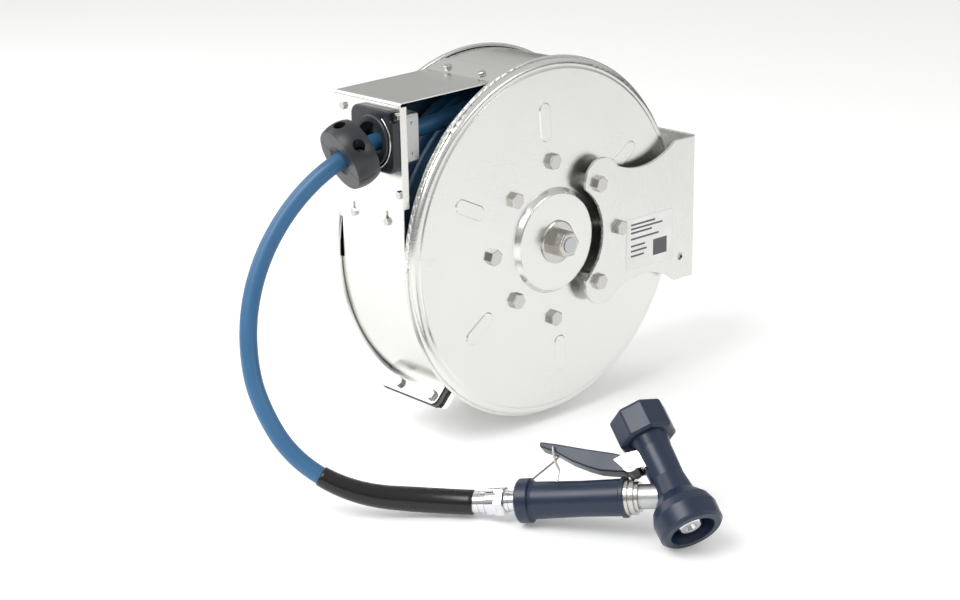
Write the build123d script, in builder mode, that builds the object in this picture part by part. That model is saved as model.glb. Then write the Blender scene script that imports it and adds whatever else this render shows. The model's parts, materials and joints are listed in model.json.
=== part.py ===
from build123d import *
import os
from math import asin, cos, degrees, pi, radians, sin, tan

# A closed stainless hose reel with a spring rewind, a wall bracket, a roller guide,
# a ball stop and a water gun on the hose. Millimetres, +Z up. The origin is the centre
# of the bracket's base on the wall plane, the object stands out along -Y, and the
# spindle runs along X.

# Drum
SPINDLE_TO_WALL = 230
COVER_RADIUS = 208
SHEET = 1.5
FACE_X = 69.5
BOSS_X = 76.5
BOSS_RADIUS = 56
SHOULDER_X = 68
SHOULDER_RADIUS = 199
BEAD_X = 58.25
BEAD_TUBE = 2.25
WRAP_RADIUS = 206.2
WRAP_HALF = 61
OUTLET_HALF = 55.2
OUTLET_ANGLE = 111.5
SEAM_ANGLE = 227
SEAM_GASKET = 3
SEAM_EDGE = 230

# Bolts in the covers, by their angle round the spindle
CARDINAL_RADIUS = 93
DIAGONAL_RADIUS = 83
WALL_SIDE_ANGLES = (-45, 0, 45)
OPEN_SIDE_ANGLES = (90, 135, 180, 225, 270)
BOLT_RADIUS = 5
BOLT_FLATS = 16.5
BOLT_HEAD = 6.4

# Hub and spindle
HUB_PLATE_X = 62
HUB_PLATE_RADIUS = 110
SPINDLE_RADIUS = 12.5
SPINDLE_THREAD = 9
INLET_END = -112
INLET_RADIUS = 9.5
INLET_DEPTH = 18
WATER_BORE = 6
PORT_X = -37

# Spool and rewind spring
SPOOL_HALF = 53
CORE_RADIUS = 118
SPOOL_FLANGE_RADIUS = 190
HUB_TUBE_RADIUS = 24
BUSH_RADIUS = 15
BUSH_BORE = 12.55
ARBOR_RADIUS = 20
ARBOR_SPAN = (-15, 35)
WEB_SPAN = (-24, -21)
LID_SPAN = (40, 42.5)
SPRING_PITCH = 7.4
SPRING_HALF_TURNS = 24
SPRING_STRIP = 1.2

# Ratchet
RATCHET_SPAN = (54.5, 58.5)
RATCHET_TEETH = 12
RATCHET_TIP = 60
RATCHET_ROOT = 52
PAWL_RADIUS = 80
PAWL_ANGLE = 200

# Mounting bracket
ARM_X = 81.25
BRACKET_SHEET = 4
BRACKET_HALF_HEIGHT = 87
MOUNT_HOLE_RADIUS = 5.5
MOUNT_X = 55
MOUNT_Z = 62

# Outlet, with the place where the hose leaves
PLATE_Y = -436.4
PLATE_BOTTOM = 47.5
PLATE_TOP = 188.5
GUIDE_X = 19
GUIDE_Z = 146.5
ROLLER_RADIUS = 5.5
ROLLER_OFFSET = 16.5
ROLLER_PIN = 2
ROLLER_Y = (-427, -414)
FRAME_OUTER = 55
FRAME_WALL = 3
FRAME_DEPTH = 28

# Hose
HOSE_RADIUS = 9.5
SLEEVE_RADIUS = 12
LAYER_RADIUS = 155.7
STOP_RADIUS = 37
STOP_HALF_LENGTH = 14

# Water gun: its grip runs along GRIP, its barrel along BARREL_AXIS towards the nozzle
GUN_ORIGIN = Vector(254.8, -450.3, -194.7)
GRIP = Vector(0.862, 0.4905, 0.157).normalized()
BARREL_LEAN = Vector(0.771, -0.280, -0.571)
BARREL_ANGLE = 63
BARREL_CROSSING = 157
LEVER_PIVOT = (110.8, 30.8)
LEVER_HALF = 9
CLIP_PIVOT = (27.5, 53.5)
CLIP_WIRE = 1.25

SPINDLE_Y = -SPINDLE_TO_WALL
SPINDLE = Axis((0, SPINDLE_Y, 0), (1, 0, 0))
PROFILE = Plane(origin=(0, SPINDLE_Y, 0), x_dir=(1, 0, 0), z_dir=(0, -1, 0))

lever_side = -(BARREL_LEAN - GRIP * BARREL_LEAN.dot(GRIP)).normalized()
gun_side = GRIP.cross(lever_side)
GUN = Plane(origin=GUN_ORIGIN, x_dir=GRIP, z_dir=gun_side)
GRIP_AXIS = Axis(GUN_ORIGIN, GRIP)
barrel_direction = GRIP * cos(radians(BARREL_ANGLE)) - lever_side * sin(radians(BARREL_ANGLE))
BARREL = Plane(
    origin=GUN_ORIGIN + GRIP * BARREL_CROSSING, x_dir=barrel_direction, z_dir=gun_side
)
BARREL_AXIS = Axis(BARREL.origin, barrel_direction)

os.makedirs("parts", exist_ok=True)


def save(piece, name):
    """Label a finished piece and write its STEP file."""
    piece.part.label = name
    export_step(piece.part, f"parts/{name}.step")


def disc_plane(x):
    """The plane across the spindle at x: local x is +Y, local y is +Z."""
    return Plane(origin=(x, SPINDLE_Y, 0), x_dir=(0, 1, 0), z_dir=(1, 0, 0))


def polar(radius, angle):
    """A point in a plane from its radius and its angle in degrees."""
    return radius * cos(radians(angle)), radius * sin(radians(angle))


def bolt_points(angles):
    """Bolt centres round the spindle: cardinal ones stand further out."""
    return [polar(CARDINAL_RADIUS if a % 90 == 0 else DIAGONAL_RADIUS, a) for a in angles]


def grip_station(x):
    """The plane across the grip at x: local x is the lever side."""
    return Plane(origin=GUN_ORIGIN + GRIP * x, x_dir=lever_side, z_dir=GRIP)


def gun_layer(z):
    """The gun's side plane moved to z, towards the side the gun is seen from."""
    return GUN.offset(z)


def lathe(plane, axis, *outlines):
    """A turned solid from outlines of (along, radius) points."""
    with BuildPart() as piece:
        for outline in outlines:
            with BuildSketch(plane):
                with BuildLine():
                    Polyline(*outline, close=True)
                make_face()
            revolve(axis=axis)
    return piece.part


def band(start, end, inner, outer):
    """The outline of a plain turned band."""
    return [(start, inner), (end, inner), (end, outer), (start, outer)]


def discs(plane, centres, radius, amount):
    """Cylinders that stand on a plane."""
    with BuildPart() as piece:
        with BuildSketch(plane):
            with Locations(centres):
                Circle(radius)
        extrude(amount=amount)
    return piece.part


def hexagons(plane, centres, flats, amount):
    """Hexagon prisms that stand on a plane, with their far edges broken."""
    with BuildPart() as piece:
        with BuildSketch(plane):
            for index, centre in enumerate(centres):
                with Locations(centre):
                    RegularPolygon(flats / 2, 6, major_radius=False, rotation=37 * index)
        extrude(amount=amount)
        step = 1 if amount > 0 else -1
        tops = piece.faces().filter_by(Axis((0, 0, 0), plane.z_dir))
        tops = tops.sort_by(Axis((0, 0, 0), plane.z_dir * step))[-len(centres):]
        chamfer(tops.edges(), length=0.05 * flats)
    return piece.part


def plate(plane, centre, width, height, corner, amount):
    """A plate with rounded corners that stands on a plane."""
    with BuildPart() as piece:
        with BuildSketch(plane):
            with Locations(centre):
                RectangleRounded(width, height, corner)
        extrude(amount=amount)
    return piece.part


# ---------------------------------------------------------------- drum covers
SLOT_RADIUS = 139.6
SLOT_LENGTH = 45
SLOT_WIDTH = 17
SLOT_RISE = 1.2
SLOT_START = 34.3


def cover_outline():
    """The middle line of a cover's sheet, from the hub out to the bead."""
    half = SHEET / 2
    return [
        (BOSS_X - half, 14),
        (BOSS_X - half, BOSS_RADIUS + 0.6),
        (FACE_X - half, BOSS_RADIUS + 5.2),
        (FACE_X - half, SHOULDER_RADIUS - 1.6),
        (SHOULDER_X - half, SHOULDER_RADIUS),
        (SHOULDER_X - half, COVER_RADIUS - half),
        (BEAD_X, COVER_RADIUS - half),
    ]


with BuildPart() as near_cover:
    with BuildSketch(PROFILE):
        with BuildLine():
            FilletPolyline(*cover_outline(), radius=[2, 2, 1, 1, 5.2])
        trace(line_width=SHEET)
        with Locations((BEAD_X, COVER_RADIUS + BEAD_TUBE - SHEET)):
            Circle(BEAD_TUBE)
    revolve(axis=SPINDLE)
    with BuildSketch(disc_plane(FACE_X)):
        for turn in range(6):
            angle = SLOT_START + 60 * turn
            with Locations(polar(SLOT_RADIUS, angle)):
                SlotOverall(SLOT_LENGTH, SLOT_WIDTH, rotation=angle)
    extrude(amount=SLOT_RISE, taper=40)
    with BuildSketch(disc_plane(FACE_X)):
        with Locations(bolt_points(WALL_SIDE_ANGLES + OPEN_SIDE_ANGLES)):
            Circle(BOLT_RADIUS + 0.5)
    extrude(amount=-2 * SHEET, mode=Mode.SUBTRACT)
save(near_cover, "near_cover")

with BuildPart() as far_cover:
    mirror(near_cover.part, about=Plane.YZ)
save(far_cover, "far_cover")

# ---------------------------------------------------------------- wrap sheets and seam
SEAM_FRONT_SPAN = (-55.4, 39)
SEAM_GASKET_SPAN = (-55.4, 46)
SEAM_REAR_SPAN = (-55.4, 55.4)
SCREW_X = 28.5
SEAM_BOLT_RADIUS = 220.5
STRAIGHT_TOP = 72
LOW_SCREW_Z = 56.5
TAB_SCREW_ANGLE = 108.8

seam_out = Vector(0, cos(radians(SEAM_ANGLE)), sin(radians(SEAM_ANGLE)))
seam_across = Vector(0, -sin(radians(SEAM_ANGLE)), cos(radians(SEAM_ANGLE)))


def seam_face(offset):
    """A plane along the seam: local x along the spindle, local y inwards."""
    origin = Vector(0, SPINDLE_Y, 0) + seam_across * offset
    return Plane(origin=origin, x_dir=(1, 0, 0), z_dir=seam_across)


def seam_screws(radius, offset, amount):
    """The two bolt shanks or holes across the seam."""
    sign = 1 if seam_face(0).y_dir.dot(seam_out) > 0 else -1
    centres = [(x, sign * SEAM_BOLT_RADIUS) for x in (-SCREW_X, SCREW_X)]
    return discs(seam_face(offset), centres, radius, amount)


def seam_strip(span, inner, outer, offset, thickness):
    """A strip that stands out along the seam with rounded outer corners."""
    sign = 1 if seam_face(0).y_dir.dot(seam_out) > 0 else -1
    centre = ((span[0] + span[1]) / 2, sign * (inner + outer) / 2)
    with BuildPart() as piece:
        with BuildSketch(seam_face(offset)):
            with Locations(centre):
                Rectangle(span[1] - span[0], outer - inner)
        extrude(amount=thickness)
        far = piece.edges().filter_by(Axis((0, 0, 0), seam_across))
        far = far.sort_by(Axis((0, SPINDLE_Y, 0), seam_out))[-2:]
        fillet(far, radius=7)
    return piece.part


def wrap_arc(start, end):
    """A stretch of the wrap's sheet between two angles."""
    inner = WRAP_RADIUS - SHEET
    with BuildPart() as piece:
        with BuildSketch(disc_plane(-WRAP_HALF)):
            with BuildLine():
                CenterArc((0, 0), WRAP_RADIUS, start, end - start)
                Line(polar(WRAP_RADIUS, end), polar(inner, end))
                CenterArc((0, 0), inner, start, end - start)
                Line(polar(inner, start), polar(WRAP_RADIUS, start))
            make_face()
        extrude(amount=2 * WRAP_HALF)
    return piece.part


gasket_half_angle = degrees(asin((SEAM_GASKET / 2 + 0.02) / WRAP_RADIUS))
tab_screw = Plane(
    origin=(0, SPINDLE_Y + polar(WRAP_RADIUS, TAB_SCREW_ANGLE)[0], polar(WRAP_RADIUS, TAB_SCREW_ANGLE)[1]),
    x_dir=(1, 0, 0),
    z_dir=(0, cos(radians(TAB_SCREW_ANGLE)), sin(radians(TAB_SCREW_ANGLE))),
)
front_face = Plane(origin=(0, PLATE_Y - SHEET, 0), x_dir=(1, 0, 0), z_dir=(0, -1, 0))
low_screws = [(-SCREW_X, LOW_SCREW_Z), (SCREW_X, LOW_SCREW_Z)]
tab_screws = [(-SCREW_X, 0), (SCREW_X, 0)]

with BuildPart() as front_wrap:
    add(wrap_arc(180, SEAM_ANGLE - gasket_half_angle))
    add(seam_strip(SEAM_FRONT_SPAN, WRAP_RADIUS - 1, SEAM_EDGE, -SEAM_GASKET / 2, -SHEET))
    with BuildSketch(disc_plane(-OUTLET_HALF + 2)):
        with Locations((-WRAP_RADIUS + SHEET / 2, STRAIGHT_TOP / 2)):
            Rectangle(SHEET, STRAIGHT_TOP)
    extrude(amount=2 * (OUTLET_HALF - 2))
    add(seam_screws(3.4, -SEAM_GASKET / 2 - 5, 8), mode=Mode.SUBTRACT)
    add(discs(front_face, low_screws, 2.7, -8), mode=Mode.SUBTRACT)
save(front_wrap, "front_wrap")

with BuildPart() as rear_wrap:
    add(wrap_arc(SEAM_ANGLE + gasket_half_angle, OUTLET_ANGLE + 360))
    add(seam_strip(SEAM_REAR_SPAN, WRAP_RADIUS - 1, SEAM_EDGE, SEAM_GASKET / 2, SHEET))
    add(seam_screws(3.4, 0, 8), mode=Mode.SUBTRACT)
    add(discs(tab_screw, tab_screws, 2.7, -8), mode=Mode.SUBTRACT)
save(rear_wrap, "rear_wrap")

with BuildPart() as seam_gasket:
    add(seam_strip(SEAM_GASKET_SPAN, WRAP_RADIUS - 2, SEAM_EDGE + 1.5, -SEAM_GASKET / 2, SEAM_GASKET))
    add(seam_screws(3.4, -4, 8), mode=Mode.SUBTRACT)
save(seam_gasket, "seam_gasket")

with BuildPart() as seam_bolts:
    sign = 1 if seam_face(0).y_dir.dot(seam_out) > 0 else -1
    seam_centres = [(x, sign * SEAM_BOLT_RADIUS) for x in (-SCREW_X, SCREW_X)]
    head_plane = seam_face(-SEAM_GASKET / 2 - SHEET)
    nut_plane = seam_face(SEAM_GASKET / 2 + SHEET)
    add(hexagons(head_plane, seam_centres, 11, -4.5))
    add(discs(head_plane, seam_centres, 3, 2 * SHEET + SEAM_GASKET + 7))
    add(hexagons(nut_plane, seam_centres, 10, 5))
save(seam_bolts, "seam_bolts")

# ---------------------------------------------------------------- outlet bracket
TAB_START = 111.8
TAB_END = 103.5
LIP_DEPTH = 7.5
LIP_BOTTOM = STRAIGHT_TOP + 1.5
GUIDE_SCREWS = [(-40.15, 174), (51, 174), (-40.15, 90), (51, 90)]
SLOT_ABOVE = 9

tab_radius = WRAP_RADIUS + 0.2 + SHEET / 2
plate_middle = PLATE_Y - SPINDLE_Y - SHEET / 2
with BuildPart() as outlet_bracket:
    tab_y, tab_z = polar(tab_radius, TAB_START)
    with BuildSketch(disc_plane(-OUTLET_HALF)):
        with BuildLine():
            FilletPolyline(
                (plate_middle, PLATE_BOTTOM),
                (plate_middle, PLATE_TOP),
                (tab_y, tab_z),
                radius=3,
            )
            CenterArc((0, 0), tab_radius, TAB_START, TAB_END - TAB_START)
        trace(line_width=SHEET)
    extrude(amount=2 * OUTLET_HALF)
    for x in (-OUTLET_HALF + SHEET / 2, OUTLET_HALF - SHEET / 2):
        lip_middle = (LIP_BOTTOM + PLATE_TOP - 4) / 2
        lip_height = PLATE_TOP - 4 - LIP_BOTTOM
        with Locations((x, PLATE_Y + LIP_DEPTH / 2 - 0.4, lip_middle)):
            Box(SHEET, LIP_DEPTH + 0.8, lip_height)
    with BuildSketch(front_face.offset(2)):
        with Locations((GUIDE_X, GUIDE_Z)):
            RectangleRounded(40, 40, 8)
        with Locations(GUIDE_SCREWS):
            Circle(2.4)
        for x, z in low_screws:
            with Locations((x, z + SLOT_ABOVE / 2)):
                SlotOverall(SLOT_ABOVE + 6, 5, rotation=90)
    extrude(amount=-6, mode=Mode.SUBTRACT)
    add(discs(tab_screw, tab_screws, 2.7, 8), mode=Mode.SUBTRACT)
save(outlet_bracket, "outlet_bracket")

# ---------------------------------------------------------------- roller guide
FRAME_PLATE = 2.5
with BuildPart() as roller_frame:
    add(plate(front_face.offset(-SHEET), (3.4, 132.5), 99, 97, 4, -FRAME_PLATE))
    with BuildSketch(Plane(origin=(0, PLATE_Y, 0), x_dir=(1, 0, 0), z_dir=(0, -1, 0))):
        with Locations((GUIDE_X, GUIDE_Z)):
            RectangleRounded(FRAME_OUTER, FRAME_OUTER, 4)
    extrude(amount=-FRAME_PLATE - FRAME_DEPTH)
    with BuildSketch(Plane(origin=(0, PLATE_Y, 0), x_dir=(1, 0, 0), z_dir=(0, -1, 0))):
        with Locations((GUIDE_X, GUIDE_Z)):
            Rectangle(FRAME_OUTER - 2 * FRAME_WALL, FRAME_OUTER - 2 * FRAME_WALL)
    extrude(amount=-FRAME_PLATE - FRAME_DEPTH, mode=Mode.SUBTRACT)
    add(discs(front_face, GUIDE_SCREWS, 2.4, -8), mode=Mode.SUBTRACT)
    for side in (-1, 1):
        with Locations((GUIDE_X + side * ROLLER_OFFSET, ROLLER_Y[0], GUIDE_Z)):
            Cylinder(ROLLER_PIN, 80, mode=Mode.SUBTRACT)
        with Locations((GUIDE_X, ROLLER_Y[1], GUIDE_Z + side * ROLLER_OFFSET)):
            Cylinder(ROLLER_PIN, 80, rotation=(0, 90, 0), mode=Mode.SUBTRACT)
save(roller_frame, "roller_frame")

with BuildPart() as roller_pins:
    for side in (-1, 1):
        with Locations((GUIDE_X + side * ROLLER_OFFSET, ROLLER_Y[0], GUIDE_Z)):
            Cylinder(ROLLER_PIN, FRAME_OUTER + 2)
        with Locations((GUIDE_X, ROLLER_Y[1], GUIDE_Z + side * ROLLER_OFFSET)):
            Cylinder(ROLLER_PIN, FRAME_OUTER + 2, rotation=(0, 90, 0))
save(roller_pins, "roller_pins")

ROLLER_LENGTH = FRAME_OUTER - 2 * FRAME_WALL - 0.8
roller_places = {
    "left_roller": ((GUIDE_X - ROLLER_OFFSET, ROLLER_Y[0], GUIDE_Z), (0, 0, 0)),
    "right_roller": ((GUIDE_X + ROLLER_OFFSET, ROLLER_Y[0], GUIDE_Z), (0, 0, 0)),
    "upper_roller": ((GUIDE_X, ROLLER_Y[1], GUIDE_Z + ROLLER_OFFSET), (0, 90, 0)),
    "lower_roller": ((GUIDE_X, ROLLER_Y[1], GUIDE_Z - ROLLER_OFFSET), (0, 90, 0)),
}
for roller_name, (place, turned) in roller_places.items():
    with BuildPart() as roller:
        with Locations(place):
            Cylinder(ROLLER_RADIUS, ROLLER_LENGTH, rotation=turned)
            Cylinder(ROLLER_PIN + 0.06, ROLLER_LENGTH, rotation=turned, mode=Mode.SUBTRACT)
    save(roller, roller_name)

MOUTH_RADIUS = 17
FLANGE_DEPTH = 8
RING_RADIUS = 28
with BuildPart() as hose_guide:
    add(plate(front_face, (17.25, 146.5), 72.5, 69, 12, FLANGE_DEPTH))
    outer_edges = hose_guide.faces().sort_by(Axis.Y)[0].edges()
    fillet(outer_edges, radius=2.5)
    add(discs(front_face, [(GUIDE_X, GUIDE_Z)], RING_RADIUS, FLANGE_DEPTH + 4.5))
    fillet(hose_guide.faces().sort_by(Axis.Y)[0].edges(), radius=3)
    add(discs(front_face, [(GUIDE_X, GUIDE_Z)], MOUTH_RADIUS, 40), mode=Mode.SUBTRACT)
    chamfer(hose_guide.faces().sort_by(Axis.Y)[0].edges().sort_by(SortBy.LENGTH)[0], length=3.5)
    add(discs(front_face, GUIDE_SCREWS, 6, 40), mode=Mode.SUBTRACT)
save(hose_guide, "hose_guide")

with BuildPart() as guide_ring:
    ring_y = PLATE_Y - SHEET - FLANGE_DEPTH - 1.3
    ring_plane = Plane(origin=(GUIDE_X, ring_y, GUIDE_Z), x_dir=(1, 0, 0), z_dir=(0, -1, 0))
    with BuildLine(ring_plane) as ring_line:
        CenterArc((0, 0), 30, 55, -115)
        Line(polar(30, -60), (polar(30, -60)[0] - 12, polar(30, -60)[1] - 8))
    ring_wire = ring_line.wire()
    with BuildSketch(Plane(origin=ring_wire @ 0, z_dir=ring_wire % 0)):
        Circle(1.2)
    sweep(path=ring_wire, transition=Transition.ROUND)
save(guide_ring, "guide_wire")

with BuildPart() as plate_screws:
    add(hexagons(front_face, GUIDE_SCREWS + low_screws, 8, 3.2))
    add(discs(front_face, GUIDE_SCREWS + low_screws, 2.3, -8))
    add(hexagons(tab_screw.offset(0.2 + SHEET), tab_screws, 8, 3.2))
    add(discs(tab_screw.offset(0.2 + SHEET), tab_screws, 2.3, -7))
save(plate_screws, "plate_screws")

# ---------------------------------------------------------------- hub and spindle
near_points = bolt_points(WALL_SIDE_ANGLES + OPEN_SIDE_ANGLES)
with BuildPart() as near_hub_plate:
    add(discs(disc_plane(HUB_PLATE_X), [(0, 0)], HUB_PLATE_RADIUS, SHOULDER_X - HUB_PLATE_X))
    add(discs(disc_plane(HUB_PLATE_X - 4), [(0, 0)], 30, BOSS_X - SHEET - HUB_PLATE_X + 4))
    add(discs(disc_plane(40), [(0, 0)], SPINDLE_RADIUS, 60), mode=Mode.SUBTRACT)
    add(discs(disc_plane(40), near_points, BOLT_RADIUS + 0.1, 60), mode=Mode.SUBTRACT)
save(near_hub_plate, "near_hub_plate")

with BuildPart() as far_hub_plate:
    mirror(near_hub_plate.part, about=Plane.YZ)
save(far_hub_plate, "far_hub_plate")

WASHER = 2.5
NUT_FLATS = 27
NUT_HEIGHT = 18
with BuildPart() as spindle:
    add(
        lathe(
            PROFILE,
            SPINDLE,
            band(INLET_END, BOSS_X, 0, SPINDLE_RADIUS),
            band(BOSS_X - 1, BOSS_X + WASHER + NUT_HEIGHT + 1.5, 0, SPINDLE_THREAD),
            band(ARBOR_SPAN[0], ARBOR_SPAN[1], 0, ARBOR_RADIUS),
        )
    )
    add(
        lathe(
            PROFILE,
            SPINDLE,
            band(INLET_END - 1, INLET_END + INLET_DEPTH, 0, INLET_RADIUS),
            band(INLET_END, PORT_X + 5, 0, WATER_BORE),
        ),
        mode=Mode.SUBTRACT,
    )
    with Locations((PORT_X, SPINDLE_Y, 0)):
        Cylinder(3.5, 40, mode=Mode.SUBTRACT)
    with Locations(((ARBOR_SPAN[0] + ARBOR_SPAN[1]) / 2, SPINDLE_Y + 18.5, 0)):
        Box(ARBOR_SPAN[1] - ARBOR_SPAN[0] + 1, 7, 1.6, mode=Mode.SUBTRACT)
save(spindle, "spindle")

with BuildPart() as spindle_washer:
    add(
        lathe(
            PROFILE,
            SPINDLE,
            [
                (BOSS_X, SPINDLE_THREAD + 0.3),
                (BOSS_X + WASHER, SPINDLE_THREAD + 0.3),
                (BOSS_X + WASHER, 23.5),
                (BOSS_X + WASHER - 0.8, 25),
                (BOSS_X, 25),
            ],
        )
    )
save(spindle_washer, "spindle_washer")

with BuildPart() as spindle_nut:
    add(hexagons(disc_plane(BOSS_X + WASHER), [(0, 0)], NUT_FLATS, NUT_HEIGHT))
    add(discs(disc_plane(BOSS_X), [(0, 0)], SPINDLE_THREAD, 40), mode=Mode.SUBTRACT)
save(spindle_nut, "spindle_nut")

with BuildPart() as inlet_locknut:
    add(hexagons(disc_plane(-BOSS_X), [(0, 0)], 36, -9))
    add(discs(disc_plane(-BOSS_X), [(0, 0)], SPINDLE_RADIUS, -40), mode=Mode.SUBTRACT)
save(inlet_locknut, "inlet_locknut")

with BuildPart() as cover_bolts:
    add(hexagons(disc_plane(FACE_X), bolt_points(OPEN_SIDE_ANGLES), BOLT_FLATS, BOLT_HEAD))
    add(discs(disc_plane(FACE_X), bolt_points(OPEN_SIDE_ANGLES), BOLT_RADIUS, HUB_PLATE_X - FACE_X))
    mirror(about=Plane.YZ)
save(cover_bolts, "cover_bolts")

arm_outer = ARM_X + BRACKET_SHEET
with BuildPart() as arm_bolts:
    add(hexagons(disc_plane(arm_outer), bolt_points(WALL_SIDE_ANGLES), BOLT_FLATS, BOLT_HEAD))
    add(discs(disc_plane(arm_outer), bolt_points(WALL_SIDE_ANGLES), BOLT_RADIUS, HUB_PLATE_X - arm_outer))
    mirror(about=Plane.YZ)
save(arm_bolts, "arm_bolts")

with BuildPart() as arm_spacers:
    add(discs(disc_plane(FACE_X), bolt_points(WALL_SIDE_ANGLES), 8, ARM_X - FACE_X))
    add(
        discs(disc_plane(FACE_X), bolt_points(WALL_SIDE_ANGLES), BOLT_RADIUS + 0.3, ARM_X - FACE_X),
        mode=Mode.SUBTRACT,
    )
    mirror(about=Plane.YZ)
save(arm_spacers, "arm_spacers")

# ---------------------------------------------------------------- mounting bracket
ARM_START = 60
SCALLOP_CENTRE = (130, 164)
SCALLOP_RADIUS = 98
LOBE_CENTRE = (66, 60)
LOBE_RADIUS = 28
HUB_CLEARANCE = 67
SIDE_HOLE = (200.4, -58.7)


def arm_shape():
    """The outline of both arms, seen along the spindle."""
    with BuildSketch() as shape:
        with Locations(((ARM_START + SPINDLE_TO_WALL) / 2, 0)):
            Rectangle(SPINDLE_TO_WALL - ARM_START, 2 * BRACKET_HALF_HEIGHT)
        for side in (-1, 1):
            with Locations((SCALLOP_CENTRE[0], side * SCALLOP_CENTRE[1])):
                Circle(SCALLOP_RADIUS, mode=Mode.SUBTRACT)
            with Locations((LOBE_CENTRE[0], side * LOBE_CENTRE[1])):
                Circle(LOBE_RADIUS)
        Circle(HUB_CLEARANCE, mode=Mode.SUBTRACT)
        with Locations(bolt_points(WALL_SIDE_ANGLES)):
            Circle(BOLT_RADIUS + 0.3, mode=Mode.SUBTRACT)
        with Locations(SIDE_HOLE):
            Circle(4.5, mode=Mode.SUBTRACT)
    return shape.sketch


arm_middle = ARM_X + BRACKET_SHEET / 2
arm_tip_y = SPINDLE_Y + LOBE_CENTRE[0] - LOBE_RADIUS - 5
with BuildPart() as mounting_bracket:
    with BuildSketch(Plane.XY.offset(-BRACKET_HALF_HEIGHT - 5)):
        with BuildLine():
            FilletPolyline(
                (-arm_middle, arm_tip_y),
                (-arm_middle, -BRACKET_SHEET / 2),
                (arm_middle, -BRACKET_SHEET / 2),
                (arm_middle, arm_tip_y),
                radius=8,
            )
        trace(line_width=BRACKET_SHEET)
    extrude(amount=2 * BRACKET_HALF_HEIGHT + 10)
    with BuildSketch(disc_plane(-arm_outer - 1)):
        add(arm_shape())
    extrude(amount=2 * arm_outer + 2, mode=Mode.INTERSECT)
    with BuildSketch(Plane.XZ):
        with Locations(
            (-MOUNT_X, -MOUNT_Z), (MOUNT_X, -MOUNT_Z), (-MOUNT_X, MOUNT_Z), (MOUNT_X, MOUNT_Z)
        ):
            Circle(MOUNT_HOLE_RADIUS)
    extrude(amount=10, mode=Mode.SUBTRACT)
save(mounting_bracket, "mounting_bracket")

LABEL_SIZE = (80, 62)
LABEL_CENTRE = (145, -26)
with BuildPart() as label:
    add(plate(disc_plane(arm_outer), LABEL_CENTRE, LABEL_SIZE[0], LABEL_SIZE[1], 1.5, 0.3))
save(label, "label")

# ---------------------------------------------------------------- spool
with BuildPart() as spool_core:
    add(
        lathe(
            PROFILE,
            SPINDLE,
            band(-SPOOL_HALF, SPOOL_HALF, CORE_RADIUS - SHEET, CORE_RADIUS),
            band(WEB_SPAN[0], WEB_SPAN[1], BUSH_RADIUS, CORE_RADIUS - 0.5),
            band(-SPOOL_HALF, WEB_SPAN[1], BUSH_RADIUS, HUB_TUBE_RADIUS),
        )
    )
    with Locations((PORT_X, SPINDLE_Y, 70)):
        Cylinder(6.1, 124, mode=Mode.SUBTRACT)
save(spool_core, "spool_core")

with BuildPart() as near_spool_flange:
    add(lathe(PROFILE, SPINDLE, band(SPOOL_HALF, SPOOL_HALF + SHEET, 20, SPOOL_FLANGE_RADIUS)))
save(near_spool_flange, "near_spool_flange")

with BuildPart() as far_spool_flange:
    mirror(near_spool_flange.part, about=Plane.YZ)
save(far_spool_flange, "far_spool_flange")

with BuildPart() as spool_bushes:
    add(
        lathe(
            PROFILE,
            SPINDLE,
            band(-SPOOL_HALF, PORT_X - 6, BUSH_BORE, BUSH_RADIUS),
            band(PORT_X + 6, WEB_SPAN[1], BUSH_BORE, BUSH_RADIUS),
            band(LID_SPAN[0], SPOOL_HALF, BUSH_BORE, BUSH_RADIUS),
        )
    )
save(spool_bushes, "spool_bushes")

with BuildPart() as seal_rings:
    with BuildSketch(PROFILE):
        with Locations((PORT_X - 4.6, 13.77), (PORT_X + 4.6, 13.77)):
            Circle(1.2)
    revolve(axis=SPINDLE)
save(seal_rings, "seal_rings")

with BuildPart() as spring_case_lid:
    add(
        lathe(
            PROFILE,
            SPINDLE,
            band(LID_SPAN[0], LID_SPAN[1], BUSH_RADIUS, CORE_RADIUS - SHEET - 0.1),
            band(LID_SPAN[0], SPOOL_HALF, BUSH_RADIUS, HUB_TUBE_RADIUS),
        )
    )
save(spring_case_lid, "spring_case_lid")

with BuildPart() as feed_pipe:
    feed_plane = Plane(origin=(PORT_X, SPINDLE_Y, 0), x_dir=(1, 0, 0), z_dir=(0, 0, 1))
    add(discs(feed_plane.offset(BUSH_RADIUS + 1), [(0, 0)], 6, CORE_RADIUS - BUSH_RADIUS - 2.5))
    add(discs(feed_plane, [(0, 0)], 4, CORE_RADIUS + 5), mode=Mode.SUBTRACT)
save(feed_pipe, "feed_pipe")


def spring_point(half_turn):
    """Where the spiral crosses the local x axis after a number of half turns."""
    reach = ARBOR_RADIUS + 1.5 + half_turn * SPRING_PITCH / 2
    return reach if half_turn % 2 == 0 else -reach


with BuildPart() as rewind_spring:
    with BuildSketch(disc_plane(ARBOR_SPAN[0] + 2)):
        with BuildLine():
            for half_turn in range(SPRING_HALF_TURNS):
                start = spring_point(half_turn)
                end = spring_point(half_turn + 1)
                first = 0 if start > 0 else 180
                CenterArc(((start + end) / 2, 0), abs(start - end) / 2, first, 180)
        trace(line_width=SPRING_STRIP)
        with Locations((ARBOR_RADIUS - 0.8, 0)):
            Rectangle(5.4, SPRING_STRIP)
    extrude(amount=ARBOR_SPAN[1] - ARBOR_SPAN[0] - 4)
save(rewind_spring, "rewind_spring")

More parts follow.
